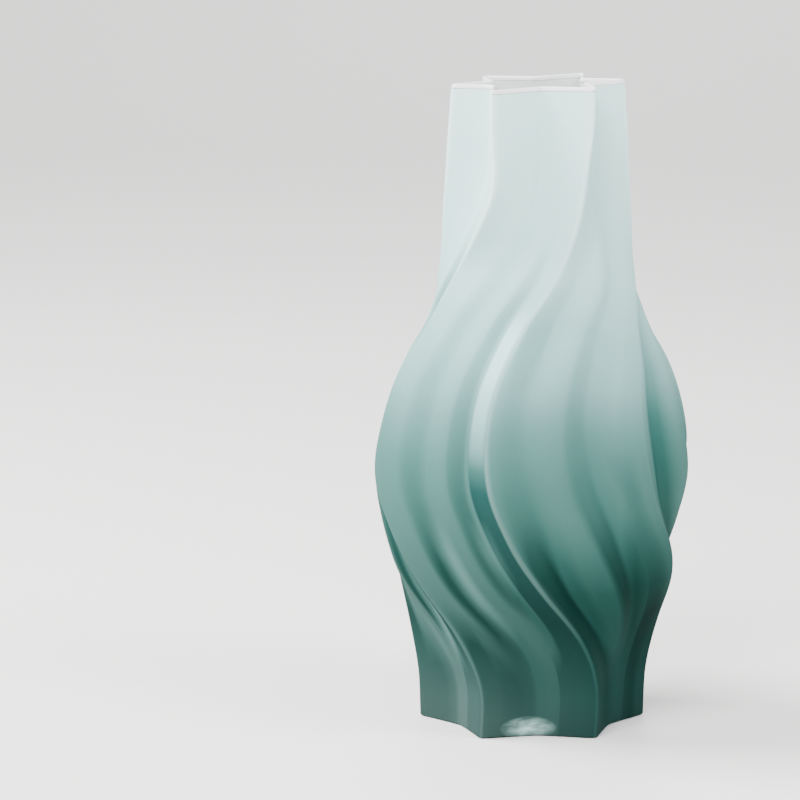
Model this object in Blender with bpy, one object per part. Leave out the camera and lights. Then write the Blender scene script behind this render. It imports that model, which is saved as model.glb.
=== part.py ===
"""Blown glass vase with six swirling ridges: thick base, clear liner, colour casing and polished lip.

Metres, +Z up. The origin is the middle of the face that the vase stands on.
"""
import math

import bmesh
import bpy
import numpy as np

# ---- driving dimensions, metres and degrees ---------------------------------------------------
HEIGHT = 0.320            # foot to mouth, on the axis
RIDGES = 6                # ridges that run from the foot to the mouth
PERIOD = 360.0 / RIDGES   # from one ridge to the next
RIDGE_BEARING = 34.0      # first ridge at foot and mouth, from -Y towards +X
AXIS_X = 0.0015           # the hand-formed belly leans a little, so the axis stands off
AXIS_Y = 0.0008           # the middle of the outline by this much

CASING_WALL = 0.0010      # colour layer
LINER_WALL_FOOT = 0.0032  # clear inner layer, thinning towards the mouth
LINER_WALL_MOUTH = 0.0013
LAYER_GAP = 0.0003        # clearance between neighbouring pieces
CASING_LIFT = 0.0006      # lower edge of the casing above the table
BASE_HEIGHT = 0.009       # top of the thick base
BASE_EDGE = 0.0010        # rounding of the base's lower edge
FLOOR_THICKNESS = 0.005   # bottom of the liner
LIP_HEIGHT = 0.0020       # polished lip at the mouth
PUNT_RADIUS = 0.020       # ground recess under the foot
PUNT_DEPTH = 0.0018

# Height, ridge radius and swirl at each station, in millimetres, millimetres and degrees.
STATIONS = (
    (0, 56.8, 0.0),
    (26, 58.3, 0.5),
    (51, 63.5, -7.5),
    (77, 72.0, -22.0),
    (102, 78.2, -36.0),
    (128, 82.0, -47.0),
    (154, 77.6, -51.0),
    (179, 69.6, -48.7),
    (205, 56.1, -38.7),
    (230, 49.2, -20.0),
    (262, 47.6, -5.5),
    (294, 47.0, -1.5),
    (320, 45.3, 0.0),
)
# The folds were turned by hand, so no two ridges run quite alike. Each line gives the share of
# the height where the difference is largest, how far it spreads, and its size for each ridge.
SWIRL_DRIFT = (
    (0.25, 0.12, (-8.0, 7.0, 18.0, 6.0, 0.0, -4.0)),
    (0.68, 0.10, (-1.0, 11.0, -2.0, 0.0, 7.5, -9.0)),
    (0.86, 0.08, (-3.0, 1.0, 0.0, 0.0, 0.0, 5.5)),
)
SWELL_DRIFT = (
    (0.36, 0.09, (0.034, -0.080, -0.010, 0.0, 0.050, 0.010)),
    (0.66, 0.08, (0.003, -0.011, 0.009, 0.0, 0.003, -0.032)),
)

# The foot and the neck are six-pointed stars with straight flanks.
STAR_NOTCH_FOOT = 0.775   # notch radius over ridge radius
STAR_NOTCH_MOUTH = 0.61
STAR_ROUNDING = 0.985     # 1 would leave the points of the star sharp
FOLD_START = (0.05, 0.26)  # shares of the height between which the star turns into folds
FOLD_END = (0.66, 0.90)
NECK = (0.72, 0.95)
NECK_SQUASH = 0.045       # the neck is narrower across its left and right ridges
NECK_SPREAD = 3.5         # and the other four ridges lean towards them
# The mouth was finished by hand and is not quite level: rise per metre towards +X and +Y.
MOUTH_SLOPE_START = 0.80
MOUTH_SLOPE_X = 0.030
MOUTH_SLOPE_Y = 0.020

# The belly is a train of folds. Each panel runs from one ridge to the next, and each mark in it
# gives: degrees from the ridge, slide of the mark low on the belly, depth below the ridges, extra
# depth low and high on the belly, and how straight the surface runs up to the mark.
LOW, LOW_SPREAD = 0.22, 0.10
HIGH, HIGH_SPREAD = 0.66, 0.08
PANELS = (
    ((15, -4, 0.035, 0.065, 0.045, 0.0), (27, -3, 0.022, 0, 0, 0.0),
     (38, -3, 0.075, 0, 0, 0.0), (60, 0, 0, 0, 0, 0.35)),
    ((13, 0, 0.090, 0, 0, 0.2), (32, 0, 0.025, 0, 0, 0.0),
     (50, 0, 0.080, 0, 0, 0.0), (60, 0, 0, 0, 0, 0.7)),
    ((14, 0, 0.030, 0.05, 0.03, 0.0), (26, 0, 0.030, 0, 0, 0.0),
     (48, 0, 0.085, 0, 0, 0.0), (60, 0, 0, 0, 0, 0.7)),
    ((14, 0, 0.030, 0.05, 0.03, 0.0), (26, 0, 0.030, 0, 0, 0.0),
     (48, 0, 0.085, 0, 0, 0.0), (60, 0, 0, 0, 0, 0.7)),
    ((14, 0, 0.020, 0.02, 0.02, 0.0), (38, -2, 0.035, 0, 0, 0.0),
     (47, -2, 0.115, 0, 0, 0.3), (60, 0, 0, 0, 0, 0.8)),
    ((18, -4, 0.010, 0, 0, 0.0), (34, -8, 0.060, 0.02, 0, 0.0),
     (42, -4, 0.048, 0, 0, 0.0), (50.5, -1, 0.090, 0, 0, 0.3), (60, 0, 0, 0, 0, 0.85)),
)

# Mesh columns between two ridges, in degrees, and rows.
COLUMNS = (0.0, 6.0, 14.0, 20.0, 27.0, 34.0, 42.0, 50.0, 55.0)
ROWS = 24


# ---- the form -------------------------------------------------------------------------------
def smoothstep(low, high, value):
    t = np.clip((value - low) / (high - low), 0.0, 1.0)
    return t * t * (3.0 - 2.0 * t)


def bump(centre, spread, value):
    return np.exp(-((value - centre) / spread) ** 2)


def station(column, height):
    """Smooth curve through one column of STATIONS."""
    heights = np.array([row[0] for row in STATIONS]) / 1000.0
    values = np.array([row[column] for row in STATIONS])
    slopes = np.gradient(values, heights)
    height = np.clip(height, heights[0], heights[-1])
    k = np.clip(np.searchsorted(heights, height, side="right") - 1, 0, len(heights) - 2)
    span = heights[k + 1] - heights[k]
    t = (height - heights[k]) / span
    ease = t * t * (3.0 - 2.0 * t)
    leave = t * (1.0 - t) ** 2 * span * slopes[k]
    arrive = -t * t * (1.0 - t) * span * slopes[k + 1]
    return values[k] * (1.0 - ease) + values[k + 1] * ease + leave + arrive


def drift(table, angle, up):
    """Sum of a drift table's lines, eased from ridge to ridge."""
    turn = (angle % 360.0) / PERIOD
    ridge = np.floor(turn).astype(int) % RIDGES
    ease = smoothstep(0.0, 1.0, turn - np.floor(turn))
    total = 0.0
    for centre, spread, values in table:
        values = np.array(values)
        here = values[ridge] * (1.0 - ease) + values[(ridge + 1) % RIDGES] * ease
        total = total + here * bump(centre, spread, up)
    return total


def star(angle, notch):
    """Straight-sided star: 1 on a ridge, `notch` halfway to the next, both a little rounded."""
    half = PERIOD / 2.0
    sharp = math.degrees(math.acos(STAR_ROUNDING)) / 180.0
    wave = np.degrees(np.arccos(STAR_ROUNDING * np.cos(np.radians(RIDGES * angle)))) / 180.0
    off = np.radians(half * (wave - sharp) / (1.0 - 2.0 * sharp))
    rest = math.radians(half) - off
    return notch * math.sin(math.radians(half)) / (np.sin(off) + notch * np.sin(rest))


def fold(angle, up):
    """Belly section: runs through the marks of each panel."""
    low = bump(LOW, LOW_SPREAD, up)
    high = bump(HIGH, HIGH_SPREAD, up)
    turn = angle % 360.0
    panel = np.floor(turn / PERIOD).astype(int) % RIDGES
    within = turn - panel * PERIOD
    ratio = np.ones_like(within + up)
    for number, marks in enumerate(PANELS):
        start, depth = 0.0 * up, 0.0 * up
        for place_at, slide, mid, more_low, more_high, straight in marks:
            end = place_at + slide * low
            next_depth = mid + more_low * low + more_high * high
            run = (within - start) / (end - start)
            ease = 0.5 - 0.5 * np.cos(math.pi * np.clip(run, 0.0, 1.0))
            ease = ease + (run - ease) * straight
            here = (panel == number) & (run >= 0.0) & (run <= 1.0)
            ratio = np.where(here, 1.0 - depth - (next_depth - depth) * ease, ratio)
            start, depth = end, next_depth
    return ratio


def outside(angle, height):
    """Outer radius and bearing, `angle` degrees past the first ridge."""
    up = height / HEIGHT
    neck = smoothstep(*NECK, up)
    notch = STAR_NOTCH_FOOT + (STAR_NOTCH_MOUTH - STAR_NOTCH_FOOT) * smoothstep(0.3, 0.95, up)
    folded = smoothstep(*FOLD_START, up) * (1.0 - smoothstep(*FOLD_END, up))
    ratio = star(angle, notch) * (1.0 - folded) + fold(angle, up) * folded
    side = np.radians(2.0 * (angle - PERIOD))
    squash = 1.0 - NECK_SQUASH * neck * np.cos(side)
    radius = station(1, height) / 1000.0 * ratio * squash * (1.0 + drift(SWELL_DRIFT, angle, up))
    bearing = RIDGE_BEARING + angle + station(2, height) + drift(SWIRL_DRIFT, angle, up)
    return radius, bearing - NECK_SPREAD * neck * np.sin(side)


def place(angle, height, inset):
    """Points on the surface that lies `inset` inside the outer one, as rows of x, y, z."""
    radius, bearing = outside(angle, height)
    x = AXIS_X + (radius - inset) * np.sin(np.radians(bearing))
    y = AXIS_Y - (radius - inset) * np.cos(np.radians(bearing))
    slope = smoothstep(MOUTH_SLOPE_START, 1.0, height / HEIGHT)
    return np.stack([x, y, height + slope * (MOUTH_SLOPE_X * x + MOUTH_SLOPE_Y * y)], axis=-1)


def liner_wall(height):
    return LINER_WALL_FOOT + (LINER_WALL_MOUTH - LINER_WALL_FOOT) * height / HEIGHT


COLUMN_ANGLES = np.array([PERIOD * ridge + column for ridge in range(RIDGES) for column in COLUMNS])


def ring(bm, height, inset):
    """One loop of vertices round the vase."""
    points = place(COLUMN_ANGLES, np.full_like(COLUMN_ANGLES, height), inset)
    return [bm.verts.new(point) for point in points]


def round_ring(bm, radius, height):
    turns = np.radians(RIDGE_BEARING + COLUMN_ANGLES)
    return [bm.verts.new((AXIS_X + radius * math.sin(t), AXIS_Y - radius * math.cos(t), height))
            for t in turns]


def skin(bm, rings):
    """Triangles between neighbouring rings. Rings that rise are all split along the same diagonal,
    so that two layers with a thin gap between them never cross."""
    for lower, upper in zip(rings, rings[1:]):
        count = len(lower)
        for k in range(count):
            n = (k + 1) % count
            bm.faces.new((lower[k], lower[n], upper[n]))
            bm.faces.new((lower[k], upper[n], upper[k]))


def cap(bm, loop, height):
    """Fan that closes a loop at the axis."""
    centre = bm.verts.new((AXIS_X, AXIS_Y, height))
    for k in range(len(loop)):
        bm.faces.new((loop[k], loop[(k + 1) % len(loop)], centre))


def levels(low, high, count):
    return [low + (high - low) * k / count for k in range(count + 1)]


# ---- the pieces -----------------------------------------------------------------------------
def glass(name, colour, roughness):
    material = bpy.data.materials.new(name)
    material.use_nodes = True
    shader = material.node_tree.nodes["Principled BSDF"]
    shader.inputs["Base Color"].default_value = (*colour, 1.0)
    shader.inputs["Roughness"].default_value = roughness
    shader.inputs["Metallic"].default_value = 0.0
    shader.inputs["Transmission Weight"].default_value = 0.6
    return material


def add_object(name, bm, material):
    bmesh.ops.recalc_face_normals(bm, faces=bm.faces)
    mesh = bpy.data.meshes.new(name)
    bm.to_mesh(mesh)
    bm.free()
    mesh.shade_smooth()
    mesh.set_sharp_from_angle(angle=math.radians(40.0))
    mesh.materials.append(material)
    item = bpy.data.objects.new(name, mesh)
    bpy.context.collection.objects.link(item)
    return item


def make_base():
    """Heavy star-shaped foot inside the casing, with a ground recess in its underside."""
    bm = bmesh.new()
    side = CASING_WALL + LAYER_GAP
    outline = []
    for turn in (math.pi / 2.0, math.pi / 4.0, 0.0):
        height = BASE_EDGE * (1.0 - math.cos(math.pi / 2.0 - turn))
        outline.append(ring(bm, height, side + BASE_EDGE * (1.0 - math.cos(turn))))
    outline.append(ring(bm, BASE_HEIGHT, side))
    skin(bm, outline)
    cap(bm, outline[-1], BASE_HEIGHT)
    recess = [round_ring(bm, PUNT_RADIUS * share, PUNT_DEPTH * (1.0 - share ** 2))
              for share in (0.6, 1.0)]
    skin(bm, recess + outline[:1])
    cap(bm, recess[0], PUNT_DEPTH)
    return add_object("thick_base", bm, glass("base_glass", (0.10, 0.28, 0.26), 0.12))


def make_casing():
    """Thin colour layer round base and liner, from just above the table to the lip."""
    bm = bmesh.new()
    heights = levels(CASING_LIFT, HEIGHT - LIP_HEIGHT - LAYER_GAP, ROWS)
    outer = [ring(bm, height, 0.0) for height in heights]
    inner = [ring(bm, height, CASING_WALL) for height in heights]
    skin(bm, outer)
    skin(bm, inner)
    skin(bm, [inner[0], outer[0]])
    skin(bm, [inner[-1], outer[-1]])
    return add_object("color_casing", bm, glass("casing_glass", (0.16, 0.42, 0.40), 0.45))


def make_liner():
    """Clear vessel wall with a closed bottom and an open mouth."""
    bm = bmesh.new()
    face = CASING_WALL + LAYER_GAP
    bottom = BASE_HEIGHT + LAYER_GAP
    floor = bottom + FLOOR_THICKNESS
    casing_levels = levels(CASING_LIFT, HEIGHT - LIP_HEIGHT - LAYER_GAP, ROWS)
    outer = [ring(bm, height, face)
             for height in [bottom] + [level for level in casing_levels if level > bottom]]
    inner = [ring(bm, height, face + liner_wall(height))
             for height in [floor] + [level for level in casing_levels if level > floor]]
    skin(bm, outer)
    skin(bm, inner)
    skin(bm, [inner[-1], outer[-1]])
    cap(bm, outer[0], bottom)
    cap(bm, inner[0], floor)
    return add_object("inner_liner", bm, glass("liner_glass", (0.80, 0.88, 0.87), 0.10))


def make_lip():
    """Polished edge that closes both layers at the mouth, rounded over its top."""
    bm = bmesh.new()
    width = CASING_WALL + LAYER_GAP + LINER_WALL_MOUTH
    bottom = HEIGHT - LIP_HEIGHT
    shoulder = HEIGHT - width / 2.0
    loops = [ring(bm, bottom, 0.0)]
    for k in range(7):
        turn = math.pi * k / 6.0
        across = (1.0 - math.cos(turn)) * width / 2.0
        loops.append(ring(bm, shoulder + math.sin(turn) * width / 2.0, across))
    loops.append(ring(bm, bottom, width))
    skin(bm, loops + loops[:1])
    return add_object("rim_lip", bm, glass("lip_glass", (0.90, 0.94, 0.94), 0.05))


def main():
    for item in list(bpy.data.objects):
        bpy.data.objects.remove(item, do_unlink=True)
    make_base()
    make_casing()
    make_liner()
    make_lip()


main()
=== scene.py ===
"""Looks of the blown glass vase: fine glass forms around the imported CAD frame, light and camera."""
import math

import bmesh
import bpy
import numpy as np
from mathutils import Matrix, Vector


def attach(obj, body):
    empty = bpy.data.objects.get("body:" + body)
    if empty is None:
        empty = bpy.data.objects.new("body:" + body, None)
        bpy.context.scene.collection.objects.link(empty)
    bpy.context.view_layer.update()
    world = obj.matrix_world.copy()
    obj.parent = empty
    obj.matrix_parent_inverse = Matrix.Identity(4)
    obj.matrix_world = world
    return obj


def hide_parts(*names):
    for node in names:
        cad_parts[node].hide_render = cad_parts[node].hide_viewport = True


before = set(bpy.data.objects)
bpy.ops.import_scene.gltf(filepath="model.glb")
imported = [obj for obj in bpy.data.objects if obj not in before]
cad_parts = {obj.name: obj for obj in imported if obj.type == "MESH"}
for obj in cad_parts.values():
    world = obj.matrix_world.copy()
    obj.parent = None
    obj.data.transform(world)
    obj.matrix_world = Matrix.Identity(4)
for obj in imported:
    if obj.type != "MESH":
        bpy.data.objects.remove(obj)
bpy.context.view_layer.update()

# ---- driving dimensions, metres and degrees -------------------------------------------------
HEIGHT = 0.320            # foot to mouth, on the axis
RIDGES = 6                # ridges that run from the foot to the mouth
PERIOD = 360.0 / RIDGES   # from one ridge to the next
RIDGE_BEARING = 34.0      # first ridge at foot and mouth, from -Y towards +X
AXIS_X = 0.0015           # the hand-formed belly leans a little, so the axis stands off
AXIS_Y = 0.0008           # the middle of the outline by this much

CASING_WALL = 0.0010      # colour layer
LINER_WALL_FOOT = 0.0032  # clear inner layer, thinning towards the mouth
LINER_WALL_MOUTH = 0.0013
LAYER_GAP = 0.0003        # clearance between neighbouring pieces
CASING_LIFT = 0.0006      # lower edge of the casing above the table
BASE_HEIGHT = 0.009       # top of the thick base
BASE_EDGE = 0.0010        # rounding of the base's lower edge
FLOOR_THICKNESS = 0.005   # bottom of the liner
LIP_HEIGHT = 0.0020       # polished lip at the mouth
PUNT_RADIUS = 0.020       # ground recess under the foot
PUNT_DEPTH = 0.0018

# Height, ridge radius and swirl at each station, in millimetres, millimetres and degrees.
STATIONS = (
    (0, 56.8, 0.0),
    (26, 58.3, 0.5),
    (51, 63.5, -7.5),
    (77, 72.0, -22.0),
    (102, 78.2, -36.0),
    (128, 82.0, -47.0),
    (154, 77.6, -51.0),
    (179, 69.6, -48.7),
    (205, 56.1, -38.7),
    (230, 49.2, -20.0),
    (262, 47.6, -5.5),
    (294, 47.0, -1.5),
    (320, 45.3, 0.0),
)
# The folds were turned by hand, so no two ridges run quite alike. Each line gives the share of
# the height where the difference is largest, how far it spreads, and its size for each ridge.
SWIRL_DRIFT = (
    (0.25, 0.12, (-8.0, 7.0, 18.0, 6.0, 0.0, -4.0)),
    (0.68, 0.10, (-1.0, 11.0, -2.0, 0.0, 7.5, -9.0)),
    (0.86, 0.08, (-3.0, 1.0, 0.0, 0.0, 0.0, 5.5)),
)
SWELL_DRIFT = (
    (0.36, 0.09, (0.034, -0.080, -0.010, 0.0, 0.050, 0.010)),
    (0.66, 0.08, (0.003, -0.011, 0.009, 0.0, 0.003, -0.032)),
)

# The foot and the neck are six-pointed stars with straight flanks.
STAR_NOTCH_FOOT = 0.775   # notch radius over ridge radius
STAR_NOTCH_MOUTH = 0.61
NOTCH_DEEPENS = (0.3, 0.95)  # shares of the height between which it goes from one to the other
STAR_ROUNDING = 0.985     # 1 would leave the points of the star sharp
FOLD_START = (0.05, 0.26)  # shares of the height between which the star turns into folds
FOLD_END = (0.66, 0.90)
NECK = (0.72, 0.95)
NECK_SQUASH = 0.045       # the neck is narrower across its left and right ridges
NECK_SPREAD = 3.5         # and the other four ridges lean towards them
# The mouth was finished by hand and is not quite level: rise per metre towards +X and +Y.
MOUTH_SLOPE_START = 0.80
MOUTH_SLOPE_X = 0.030
MOUTH_SLOPE_Y = 0.020

# The belly is a train of folds. Each panel runs from one ridge to the next, and each mark in it
# gives: degrees from the ridge, slide of the mark low on the belly, depth below the ridges, extra
# depth low and high on the belly, and how straight the surface runs up to the mark.
LOW, LOW_SPREAD = 0.22, 0.10
HIGH, HIGH_SPREAD = 0.66, 0.08
PANELS = (
    ((15, -4, 0.035, 0.065, 0.045, 0.0), (27, -3, 0.022, 0, 0, 0.0),
     (38, -3, 0.075, 0, 0, 0.0), (60, 0, 0, 0, 0, 0.35)),
    ((13, 0, 0.090, 0, 0, 0.2), (32, 0, 0.025, 0, 0, 0.0),
     (50, 0, 0.080, 0, 0, 0.0), (60, 0, 0, 0, 0, 0.7)),
    ((14, 0, 0.030, 0.05, 0.03, 0.0), (26, 0, 0.030, 0, 0, 0.0),
     (48, 0, 0.085, 0, 0, 0.0), (60, 0, 0, 0, 0, 0.7)),
    ((14, 0, 0.030, 0.05, 0.03, 0.0), (26, 0, 0.030, 0, 0, 0.0),
     (48, 0, 0.085, 0, 0, 0.0), (60, 0, 0, 0, 0, 0.7)),
    ((14, 0, 0.020, 0.02, 0.02, 0.0), (38, -2, 0.035, 0, 0, 0.0),
     (47, -2, 0.115, 0, 0, 0.3), (60, 0, 0, 0, 0, 0.8)),
    ((18, -4, 0.010, 0, 0, 0.0), (34, -8, 0.060, 0.02, 0, 0.0),
     (42, -4, 0.048, 0, 0, 0.0), (50.5, -1, 0.090, 0, 0, 0.3), (60, 0, 0, 0, 0, 0.85)),
)

# Fineness of the visible surfaces, and how far they stay inside the CAD skin.
OUTER_COLUMNS, OUTER_ROWS = 360, 184
INNER_COLUMNS, INNER_ROWS = 180, 90
EDGE_STEPS = 6            # round the base's lower edge
RECESS_STEPS = 10         # from the middle of the ground recess to its rim
LIP_STEPS = 12            # over the top of the lip
SHARP_ANGLE = math.radians(50.0)
CLEARANCE = 0.0005


# ---- the form -------------------------------------------------------------------------------
def smoothstep(low, high, value):
    t = np.clip((value - low) / (high - low), 0.0, 1.0)
    return t * t * (3.0 - 2.0 * t)


def bump(centre, spread, value):
    return np.exp(-((value - centre) / spread) ** 2)


def station(column, height):
    """Smooth curve through one column of STATIONS."""
    heights = np.array([row[0] for row in STATIONS]) / 1000.0
    values = np.array([row[column] for row in STATIONS])
    slopes = np.gradient(values, heights)
    height = np.clip(height, heights[0], heights[-1])
    k = np.clip(np.searchsorted(heights, height, side="right") - 1, 0, len(heights) - 2)
    span = heights[k + 1] - heights[k]
    t = (height - heights[k]) / span
    ease = t * t * (3.0 - 2.0 * t)
    leave = t * (1.0 - t) ** 2 * span * slopes[k]
    arrive = -t * t * (1.0 - t) * span * slopes[k + 1]
    return values[k] * (1.0 - ease) + values[k + 1] * ease + leave + arrive


def drift(table, angle, up):
    """Sum of a drift table's lines, eased from ridge to ridge."""
    turn = (angle % 360.0) / PERIOD
    ridge = np.floor(turn).astype(int) % RIDGES
    ease = smoothstep(0.0, 1.0, turn - np.floor(turn))
    total = 0.0
    for centre, spread, values in table:
        values = np.array(values)
        here = values[ridge] * (1.0 - ease) + values[(ridge + 1) % RIDGES] * ease
        total = total + here * bump(centre, spread, up)
    return total


def star(angle, notch):
    """Straight-sided star: 1 on a ridge, `notch` halfway to the next, both a little rounded."""
    half = PERIOD / 2.0
    sharp = math.degrees(math.acos(STAR_ROUNDING)) / 180.0
    wave = np.degrees(np.arccos(STAR_ROUNDING * np.cos(np.radians(RIDGES * angle)))) / 180.0
    off = np.radians(half * (wave - sharp) / (1.0 - 2.0 * sharp))
    rest = math.radians(half) - off
    return notch * math.sin(math.radians(half)) / (np.sin(off) + notch * np.sin(rest))


def fold(angle, up):
    """Belly section: runs through the marks of each panel."""
    low = bump(LOW, LOW_SPREAD, up)
    high = bump(HIGH, HIGH_SPREAD, up)
    turn = angle % 360.0
    panel = np.floor(turn / PERIOD).astype(int) % RIDGES
    within = turn - panel * PERIOD
    ratio = np.ones_like(within + up)
    for number, marks in enumerate(PANELS):
        start, depth = 0.0 * up, 0.0 * up
        for place_at, slide, mid, more_low, more_high, straight in marks:
            end = place_at + slide * low
            next_depth = mid + more_low * low + more_high * high
            run = (within - start) / (end - start)
            ease = 0.5 - 0.5 * np.cos(math.pi * np.clip(run, 0.0, 1.0))
            ease = ease + (run - ease) * straight
            here = (panel == number) & (run >= 0.0) & (run <= 1.0)
            ratio = np.where(here, 1.0 - depth - (next_depth - depth) * ease, ratio)
            start, depth = end, next_depth
    return ratio


def outside(angle, height):
    """Outer radius and bearing, `angle` degrees past the first ridge."""
    up = height / HEIGHT
    neck = smoothstep(*NECK, up)
    notch = STAR_NOTCH_FOOT + (STAR_NOTCH_MOUTH - STAR_NOTCH_FOOT) * smoothstep(*NOTCH_DEEPENS, up)
    folded = smoothstep(*FOLD_START, up) * (1.0 - smoothstep(*FOLD_END, up))
    ratio = star(angle, notch) * (1.0 - folded) + fold(angle, up) * folded
    side = np.radians(2.0 * (angle - PERIOD))
    squash = 1.0 - NECK_SQUASH * neck * np.cos(side)
    radius = station(1, height) / 1000.0 * ratio * squash * (1.0 + drift(SWELL_DRIFT, angle, up))
    bearing = RIDGE_BEARING + angle + station(2, height) + drift(SWIRL_DRIFT, angle, up)
    return radius, bearing - NECK_SPREAD * neck * np.sin(side)


def place(angle, height, inset):
    """Points on the surface that lies `inset` inside the outer one, as rows of x, y, z."""
    radius, bearing = outside(angle, height)
    radius = radius - CLEARANCE
    x = AXIS_X + (radius - inset) * np.sin(np.radians(bearing))
    y = AXIS_Y - (radius - inset) * np.cos(np.radians(bearing))
    slope = smoothstep(MOUTH_SLOPE_START, 1.0, height / HEIGHT)
    return np.stack([x, y, height + slope * (MOUTH_SLOPE_X * x + MOUTH_SLOPE_Y * y)], axis=-1)


def liner_wall(height):
    return LINER_WALL_FOOT + (LINER_WALL_MOUTH - LINER_WALL_FOOT) * height / HEIGHT


# ---- marks on the form, which the casing's painted light and shade follow -------------------
RISER_FROM = 42.0                       # degrees from a ridge to where the next riser may start
NEAR = 2.0                              # degrees to either side, for slopes and crests
AROUND = (-10.0, -5.0, 5.0, 10.0)       # degrees, for the surroundings


def relief(angle, height):
    """How far the surface lies below its surroundings, over its radius: above 0 in a valley and
    below 0 on a ridge. Then its slope across: below 0 where it falls away from a ridge, above 0
    on the steep riser up to the next one. Then how sharp a ridge runs along it."""
    here = outside(angle, height)[0]
    wide = sum(outside(angle + step, height)[0] for step in AROUND) / len(AROUND)
    left, right = outside(angle - NEAR, height)[0], outside(angle + NEAR, height)[0]
    slope = (right - left) / here / math.radians(2.0 * NEAR)
    slope = np.where(angle % PERIOD > RISER_FROM, slope, np.minimum(slope, 0.0))
    return (wide - here) / here, slope, 2.0 - (left + right) / here


class Shell:
    """Collects rings of vertices and the faces between them, then makes one mesh object."""

    def __init__(self, columns):
        self.angles = np.arange(columns) * 360.0 / columns
        self.points = []
        self.faces = []
        self.marks = {"relief": [], "slope": [], "crest": []}

    def add_ring(self, points, marks):
        """Keeps the points and their marks, and gives the points' numbers."""
        start = len(self.points)
        self.points.extend(points)
        for values, more in zip(self.marks.values(), marks):
            values.extend(more)
        return list(range(start, start + len(points)))

    def ring(self, height, inset):
        """One turn round the form at a height, `inset` inside its outer surface."""
        heights = np.full_like(self.angles, height)
        return self.add_ring(place(self.angles, heights, inset), relief(self.angles, heights))

    def round_ring(self, radius, height):
        """A plain circle round the axis."""
        turn = np.radians(RIDGE_BEARING + self.angles)
        x = AXIS_X + radius * np.sin(turn)
        y = AXIS_Y - radius * np.cos(turn)
        points = np.stack([x, y, np.full_like(turn, height)], axis=-1)
        return self.add_ring(points, 3 * [0.0 * turn])

    def skin(self, rings):
        """Faces from each ring to the next."""
        for lower, upper in zip(rings, rings[1:]):
            for k in range(len(lower)):
                n = (k + 1) % len(lower)
                self.faces.append((lower[k], lower[n], upper[n], upper[k]))

    def cap(self, loop, height):
        """Faces from a ring to one point on the axis."""
        centre = self.add_ring([(AXIS_X, AXIS_Y, height)], 3 * [[0.0]])[0]
        for k in range(len(loop)):
            self.faces.append((loop[k], loop[(k + 1) % len(loop)], centre))

    def finish(self, name, material, node):
        """Makes the object, with its marks as attributes. It stands for one CAD node."""
        mesh = bpy.data.meshes.new(name)
        mesh.from_pydata([tuple(point) for point in self.points], [], self.faces)
        work = bmesh.new()
        work.from_mesh(mesh)
        bmesh.ops.recalc_face_normals(work, faces=work.faces)
        work.to_mesh(mesh)
        work.free()
        for mark, values in self.marks.items():
            layer = mesh.attributes.new(mark, "FLOAT", "POINT")
            layer.data.foreach_set("value", np.array(values, dtype=np.float32))
        mesh.shade_smooth()
        mesh.set_sharp_from_angle(angle=SHARP_ANGLE)
        mesh.materials.append(material)
        piece = bpy.data.objects.new(name, mesh)
        bpy.context.collection.objects.link(piece)
        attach(piece, "root")
        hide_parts(node)


# ---- materials ------------------------------------------------------------------------------
def srgb(red, green, blue):
    """Linear colour of a display colour given from 0 to 255."""
    out = []
    for value in (red, green, blue):
        value /= 255.0
        out.append(value / 12.92 if value <= 0.04045 else ((value + 0.055) / 1.055) ** 2.4)
    return (*out, 1.0)


# Share of the height, and the colour of the overlay there, from 0 to 255.
CASING_COLOURS = (
    (0.00, (64, 80, 77)),
    (0.10, (60, 87, 83)),
    (0.20, (52, 80, 75)),
    (0.30, (60, 95, 90)),
    (0.38, (66, 103, 98)),
    (0.46, (68, 108, 104)),
    (0.55, (104, 144, 142)),
    (0.70, (158, 200, 198)),
    (1.00, (204, 240, 237)),
)
WANDER = 0.03             # metres that the boundary between two colours drifts up and down
WANDER_SCALE = 12.0
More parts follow.
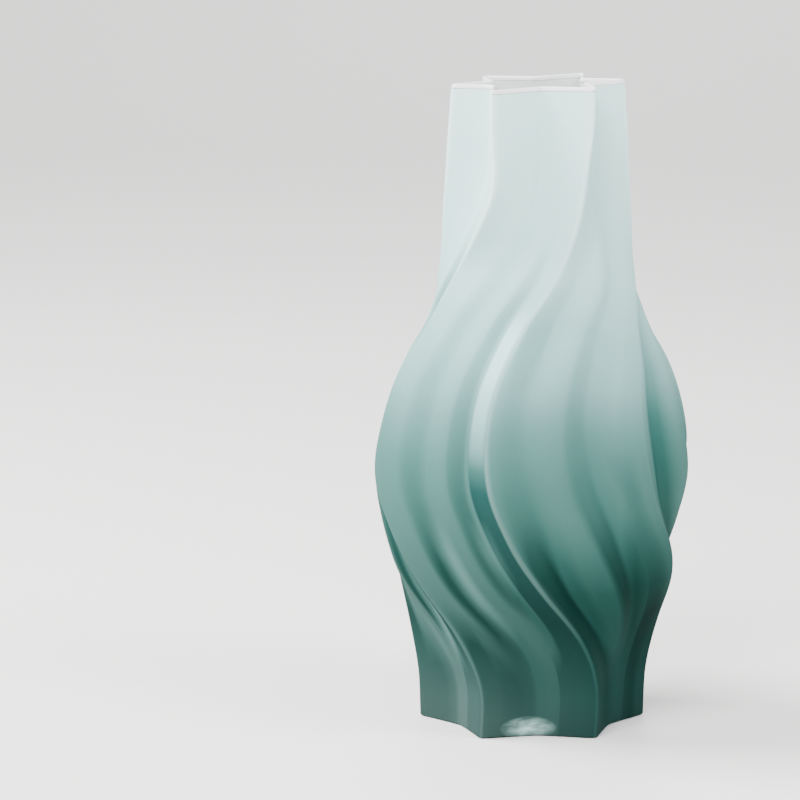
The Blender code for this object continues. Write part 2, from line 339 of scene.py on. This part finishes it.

# Painted light and shade on top of that: how each blends, its colour, and the ramps whose product
# says how much of it there is. A ramp gives what it reads, where it starts and where it ends, and
# then its values at those two places, unless they are 0 and 1.
PAINTED_LIGHT_AND_SHADE = (
    # Painted shade in the valleys, mostly low down and towards the right, away from the light.
    ("MULTIPLY", (0.60, 0.78, 0.77), (
        ("relief", 0.0, 0.04), ("height", 0.17, 0.09, 0.1, 1.0),
        ("slope", 0.25, 0.0, 0.2, 1.0), ("across", -0.030, 0.0, 0.15, 1.0))),
    # Painted shade on the riser on the tucked-under side of each ridge, over the lower half, where it
    # faces down.
    ("MULTIPLY", (0.26, 0.40, 0.41), (
        ("slope", 0.14, 0.36), ("height", 0.148, 0.128), ("height", 0.02, 0.06, 0.45, 1.0))),
    # Painted shade on the steep fall away from a ridge, lower down.
    ("MULTIPLY", (0.26, 0.42, 0.40), (
        ("slope", -0.12, -0.42), ("height", 0.145, 0.085), ("height", 0.01, 0.05, 0.35, 1.0))),
    # Higher up, a little painted shade on that fall.
    ("MULTIPLY", (0.80, 0.86, 0.85), (
        ("slope", -0.03, -0.25), ("height", 0.225, 0.205), ("across", 0.032, 0.020))),
    # Painted shade in the valley behind the ridge that bounds the front on the right.
    ("MULTIPLY", (0.44, 0.62, 0.59), (
        ("across", 0.044, 0.052), ("relief", -0.015, 0.025), ("height", 0.21, 0.16))),
    # Painted shade on the foot, darker towards the right, away from the light.
    ("MULTIPLY", (0.32, 0.54, 0.51), (
        ("across", -0.035, 0.035), ("height", 0.115, 0.075))),
    # Light that comes back out of the valleys low on the left.
    ("SCREEN", (0.032, 0.065, 0.060), (
        ("relief", 0.0, 0.03), ("across", -0.005, -0.025),
        ("height", 0.115, 0.095), ("height", 0.03, 0.05))),
    # Painted highlight on the upper half of the risers, strongest at the front.
    ("SCREEN", (0.22, 0.38, 0.38), (
        ("slope", 0.25, 0.55), ("height", 0.138, 0.185), ("height", 0.215, 0.200),
        ("depth", 0.0, -0.03, 0.3, 1.0))),
    # Painted highlight along the crests.
    ("SCREEN", (0.30, 0.38, 0.38), (
        ("crest", 0.008, 0.026), ("height", 0.05, 0.24, 0.0, 0.6))),
)

# Low on the front, a painted gleam of the light shining through the thick foot.
GLEAM_SPOT = (-0.0005, -0.0430, 0.0045)
GLEAM_FADE = (95.0, 95.0, 230.0)     # per metre, along each axis
GLEAM_EDGE, GLEAM_CORE = 1.4, 0.1     # faded distances at which nothing and all of the spot shows
GLEAM_STREAKS = (0.35, 0.60)         # noise values between which a streak grows
GLEAM_STREAK_SCALE = 1.3
GLEAM_COLOUR = (0.34, 0.54, 0.50, 1.0)

# What all the glass shares.
REFRACTION = 1.45
SPECULAR_TINT = (0.55, 0.85, 0.83, 1.0)
BUMP_STRENGTH = 0.25
ROUGHNESS_DRIFT = 0.1               # share of the roughness, either way
ROUGHNESS_SCALE = 45.0
CLOUD_SCALE = 30.0                  # of the faint clouds in the clear glass
CLOUD_SHADE = 0.95                  # the darkest of them, over the glass's own colour


class Graph:
    """Short names for the nodes and links of one material."""

    def __init__(self, name):
        self.material = bpy.data.materials.new(name)
        self.material.use_nodes = True
        self.tree = self.material.node_tree
        self.shader = self.tree.nodes["Principled BSDF"]

    def node(self, kind, inputs=None, **settings):
        """A node with its settings, and with a link or a value for each named input."""
        node = self.tree.nodes.new(kind)
        for key, value in settings.items():
            setattr(node, key, value)
        for key, value in (inputs or {}).items():
            if isinstance(value, bpy.types.NodeSocket):
                self.tree.links.new(value, node.inputs[key])
            else:
                node.inputs[key].default_value = value
        return node

    def noise(self, scale, detail=2.0):
        place_at = self.node("ShaderNodeTexCoord").outputs["Object"]
        return self.node("ShaderNodeTexNoise", {"Vector": place_at, "Scale": scale, "Detail": detail})

    def span(self, value, low, high, to_low=0.0, to_high=1.0):
        inputs = {"Value": value, "From Min": low, "From Max": high, "To Min": to_low, "To Max": to_high}
        return self.node("ShaderNodeMapRange", inputs).outputs[0]

    def times(self, first, second):
        return self.node("ShaderNodeMath", {0: first, 1: second}, operation="MULTIPLY").outputs[0]

    def mix(self, factor, first, second, blend="MIX"):
        inputs = {"Factor": factor, "A": first, "B": second}
        return self.node("ShaderNodeMix", inputs, data_type="RGBA", blend_type=blend).outputs["Result"]

    def glass(self, colour, roughness, transmission, specular=0.1, grain=60.0, depth=0.0003):
        """Fills in the shader. The roughness drifts a little, and a grain of the given scale and
        depth stands for satin etching or for the waves of blown glass."""
        self.tree.links.new(colour, self.shader.inputs["Base Color"])
        clouds = self.noise(ROUGHNESS_SCALE).outputs["Fac"]
        polished, dull = (1.0 - ROUGHNESS_DRIFT) * roughness, (1.0 + ROUGHNESS_DRIFT) * roughness
        drift = self.span(clouds, 0.3, 0.7, polished, dull)
        self.tree.links.new(drift, self.shader.inputs["Roughness"])
        waves = self.node("ShaderNodeBump", {"Height": self.noise(grain, 3.0).outputs["Fac"],
                                             "Strength": BUMP_STRENGTH, "Distance": depth})
        self.tree.links.new(waves.outputs["Normal"], self.shader.inputs["Normal"])
        self.shader.inputs["IOR"].default_value = REFRACTION
        self.shader.inputs["Specular IOR Level"].default_value = specular
        self.shader.inputs["Specular Tint"].default_value = SPECULAR_TINT
        self.shader.inputs["Transmission Weight"].default_value = transmission
        return self.material


def overlay_colour(graph, height):
    """The casing's colour from foot to mouth, along a boundary that wanders a little."""
    wander = graph.node("ShaderNodeMath", {0: graph.noise(WANDER_SCALE).outputs["Fac"], 1: WANDER,
                                           2: height}, operation="MULTIPLY_ADD")
    level = graph.span(wander.outputs[0], WANDER / 2.0, HEIGHT + WANDER / 2.0)
    ramp = graph.node("ShaderNodeValToRGB", {"Fac": level})
    ramp.color_ramp.interpolation = "B_SPLINE"
    stops = ramp.color_ramp.elements
    while len(stops) < len(CASING_COLOURS):
        stops.new(0.5)
    for stop, (position, colour) in zip(stops, CASING_COLOURS):
        stop.position = position
        stop.color = srgb(*colour)
    return ramp.outputs["Color"]


def gleam_share(graph, place_at):
    """1 in the middle of the painted gleam, falling to 0 round it, with streaks across it."""
    away = graph.node("ShaderNodeVectorMath", {0: place_at, 1: GLEAM_SPOT}, operation="SUBTRACT")
    away = graph.node("ShaderNodeVectorMath", {0: away.outputs[0], 1: GLEAM_FADE},
                      operation="MULTIPLY")
    streaks = graph.node("ShaderNodeTexNoise", {"Vector": away.outputs[0],
                                                "Scale": GLEAM_STREAK_SCALE})
    far = graph.node("ShaderNodeVectorMath", {0: away.outputs[0]}, operation="LENGTH")
    return graph.times(graph.span(far.outputs["Value"], GLEAM_EDGE, GLEAM_CORE),
                       graph.span(streaks.outputs["Fac"], *GLEAM_STREAKS, 0.3, 1.0))


def casing_material():
    """Satin overlay: teal below, nearly colourless at the neck, with painted shade in the valleys and on
    the faces turned from the light, and painted highlights along the ridges and on the risers."""
    graph = Graph("satin_casing")
    place_at = graph.node("ShaderNodeTexCoord").outputs["Object"]
    split = graph.node("ShaderNodeSeparateXYZ", {"Vector": place_at})
    read = {"across": split.outputs["X"], "depth": split.outputs["Y"], "height": split.outputs["Z"]}
    for mark in ("relief", "slope", "crest"):
        read[mark] = graph.node("ShaderNodeAttribute", attribute_name=mark).outputs["Fac"]
    shown = overlay_colour(graph, read["height"])
    # Lay the painted light and shade of the table above over the overlay's colour.
    for blend, tint, (first, *more) in PAINTED_LIGHT_AND_SHADE:
        share = graph.span(read[first[0]], *first[1:])
        for source, *limits in more:
            share = graph.times(share, graph.span(read[source], *limits))
        shown = graph.mix(share, shown, (*tint, 1.0), blend)
    # Painted gleam of light shining through the foot, low on the front.
    shown = graph.mix(gleam_share(graph, place_at), shown, GLEAM_COLOUR)
    return graph.glass(shown, roughness=0.32, transmission=0.05, specular=0.0, grain=900.0,
                       depth=0.0002)


def clear_material(name, colour, roughness, transmission):
    """Glass in one colour, from 0 to 255, with faint clouds in it."""
    graph = Graph(name)
    tint = graph.mix(graph.noise(CLOUD_SCALE).outputs["Fac"], srgb(*colour),
                     srgb(*(value * CLOUD_SHADE for value in colour)))
    return graph.glass(tint, roughness, transmission)


# ---- pieces ---------------------------------------------------------------------------------
def levels(low, high, count):
    """Evenly spaced heights, `count` steps from low to high."""
    return [low + (high - low) * k / count for k in range(count + 1)]


def make_casing():
    """Thin sleeve of colour round the vessel, open at both ends."""
    shell = Shell(OUTER_COLUMNS)
    top = HEIGHT - LIP_HEIGHT - LAYER_GAP
    outer = [shell.ring(height, 0.0) for height in levels(CASING_LIFT, top, OUTER_ROWS)]
    inner = [shell.ring(height, CASING_WALL) for height in levels(CASING_LIFT, top, INNER_ROWS)]
    shell.skin(outer)
    shell.skin(inner)
    shell.skin([inner[0], outer[0]])
    shell.skin([inner[-1], outer[-1]])
    shell.finish("casing_glass", casing_material(), "color_casing")


def make_liner():
    """Inner vessel with a flat floor, open at the mouth."""
    shell = Shell(INNER_COLUMNS)
    face = CASING_WALL + LAYER_GAP
    bottom = BASE_HEIGHT + LAYER_GAP
    floor = bottom + FLOOR_THICKNESS
    top = HEIGHT - LIP_HEIGHT - LAYER_GAP
    outer = [shell.ring(height, face) for height in levels(bottom, top, INNER_ROWS)]
    inner = [shell.ring(height, face + liner_wall(height))
             for height in levels(floor, top, INNER_ROWS)]
    shell.skin(outer)
    shell.skin(inner)
    shell.skin([inner[-1], outer[-1]])
    shell.cap(outer[0], bottom)
    shell.cap(inner[0], floor)
    material = clear_material("clear_liner", (248, 251, 250), roughness=0.2, transmission=0.3)
    shell.finish("liner_glass", material, "inner_liner")


def make_base():
    """Heavy foot: rounded lower edge, flat resting band, ground recess in the middle."""
    shell = Shell(OUTER_COLUMNS)
    side = CASING_WALL + LAYER_GAP
    edge = []
    for k in range(EDGE_STEPS + 1):
        turn = math.pi / 2.0 * (1.0 - k / EDGE_STEPS)
        height = BASE_EDGE * (1.0 - math.sin(turn))
        edge.append(shell.ring(height, side + BASE_EDGE * (1.0 - math.cos(turn))))
    edge.append(shell.ring(BASE_HEIGHT, side))
    shell.skin(edge)
    shell.cap(edge[-1], BASE_HEIGHT)
    recess = []
    for k in range(1, RECESS_STEPS + 1):
        share = k / RECESS_STEPS
        recess.append(shell.round_ring(PUNT_RADIUS * share, PUNT_DEPTH * (1.0 - share ** 2)))
    shell.skin(recess + edge[:1])
    shell.cap(recess[0], PUNT_DEPTH)
    material = clear_material("base_block", (70, 120, 112), roughness=0.15, transmission=0.6)
    shell.finish("base_glass", material, "thick_base")


def make_lip():
    """Polished edge round the mouth, rounded over its top."""
    shell = Shell(OUTER_COLUMNS)
    width = CASING_WALL + LAYER_GAP + LINER_WALL_MOUTH
    bottom = HEIGHT - LIP_HEIGHT
    shoulder = HEIGHT - width / 2.0
    loops = [shell.ring(bottom, 0.0)]
    for k in range(LIP_STEPS + 1):
        turn = math.pi * k / LIP_STEPS
        across = (1.0 - math.cos(turn)) * width / 2.0
        loops.append(shell.ring(shoulder + math.sin(turn) * width / 2.0, across))
    loops.append(shell.ring(bottom, width))
    shell.skin(loops + loops[:1])
    material = clear_material("lip_clear", (252, 253, 253), roughness=0.08, transmission=0.2)
    shell.finish("lip_glass", material, "rim_lip")


# ---- stage ----------------------------------------------------------------------------------
CAMERA_PLACE = (0.0015, -1.8397, 0.4592)
CAMERA_YAW = 2.097        # degrees to the left of +Y
CAMERA_PITCH = 9.213      # degrees below level
CAMERA_ROLL = 0.27
LENS, SENSOR = 168.1, 36.0  # millimetres
SIGHT = 50.0              # how far it sees, metres


def make_camera():
    data = bpy.data.cameras.new("camera")
    data.lens = LENS
    data.sensor_width = SENSOR
    data.clip_end = SIGHT
    camera = bpy.data.objects.new("camera", data)
    bpy.context.collection.objects.link(camera)
    turn = Matrix.Rotation(math.radians(CAMERA_YAW), 4, "Z")
    nod = Matrix.Rotation(math.radians(90.0 - CAMERA_PITCH), 4, "X")
    roll = Matrix.Rotation(math.radians(CAMERA_ROLL), 4, "Z")
    camera.matrix_world = Matrix.Translation(CAMERA_PLACE) @ turn @ nod @ roll
    bpy.context.scene.camera = camera


FLOOR_FRONT, FLOOR_BACK = -6.0, 3.0
FLOOR_HALF_WIDTH = 8.0
BACKDROP_RADIUS, BACKDROP_TOP = 1.5, 6.0
BACKDROP_STEPS = 12
FLOOR_COLOUR = (232, 232, 230)      # from 0 to 255
FLOOR_ROUGHNESS = 0.4


def make_floor():
    """Pale floor that curves up into a backdrop far behind the vase."""
    profile = [(FLOOR_FRONT, 0.0), (FLOOR_BACK, 0.0)]
    for k in range(1, BACKDROP_STEPS + 1):
        turn = 0.5 * math.pi * k / BACKDROP_STEPS
        profile.append((FLOOR_BACK + BACKDROP_RADIUS * math.sin(turn),
                        BACKDROP_RADIUS * (1.0 - math.cos(turn))))
    profile.append((FLOOR_BACK + BACKDROP_RADIUS, BACKDROP_TOP))
    points, faces = [], []
    for y, z in profile:
        points += [(-FLOOR_HALF_WIDTH, y, z), (FLOOR_HALF_WIDTH, y, z)]
    for k in range(len(profile) - 1):
        faces.append((2 * k, 2 * k + 1, 2 * k + 3, 2 * k + 2))
    mesh = bpy.data.meshes.new("floor")
    mesh.from_pydata(points, [], faces)
    mesh.shade_smooth()
    material = bpy.data.materials.new("pale_floor")
    material.use_nodes = True
    shader = material.node_tree.nodes["Principled BSDF"]
    shader.inputs["Base Color"].default_value = srgb(*FLOOR_COLOUR)
    shader.inputs["Roughness"].default_value = FLOOR_ROUGHNESS
    mesh.materials.append(material)
    floor = bpy.data.objects.new("floor", mesh)
    bpy.context.collection.objects.link(floor)


VASE_MIDDLE = (0.0, 0.0, HEIGHT / 2.0)
# Name, place, size, power in watts, and the point that the lamp is aimed at.
LIGHTS = (
    ("window", (-1.5, 0.2, 1.7), (1.2, 1.2), 142.0, VASE_MIDDLE),
    ("front_fill", (-0.7, -1.7, 1.9), (1.2, 1.2), 108.0, VASE_MIDDLE),
    ("right_fill", (1.6, -0.8, 1.8), (1.0, 1.0), 60.0, VASE_MIDDLE),
    ("back_fill", (0.0, 3.4, 2.6), (3.0, 1.5), 60.0, (0.0, 3.6, 0.0)),
)
SKY_COLOUR = (0.95, 0.97, 0.97, 1.0)
SKY_STRENGTH = 0.62


def make_lights():
    """Soft rectangular lamps and an even sky."""
    for name, position, size, power, aim in LIGHTS:
        data = bpy.data.lights.new(name, "AREA")
        data.shape = "RECTANGLE"
        data.size, data.size_y = size
        data.energy = power
        light = bpy.data.objects.new(name, data)
        bpy.context.collection.objects.link(light)
        light.location = position
        ray = Vector(aim) - Vector(position)
        light.rotation_euler = ray.to_track_quat("-Z", "Y").to_euler()
    world = bpy.data.worlds.new("studio")
    world.use_nodes = True
    background = world.node_tree.nodes["Background"]
    background.inputs["Color"].default_value = SKY_COLOUR
    background.inputs["Strength"].default_value = SKY_STRENGTH
    bpy.context.scene.world = world


def main():
    make_camera()
    make_floor()
    make_lights()
    make_casing()
    make_liner()
    make_base()
    make_lip()


main()
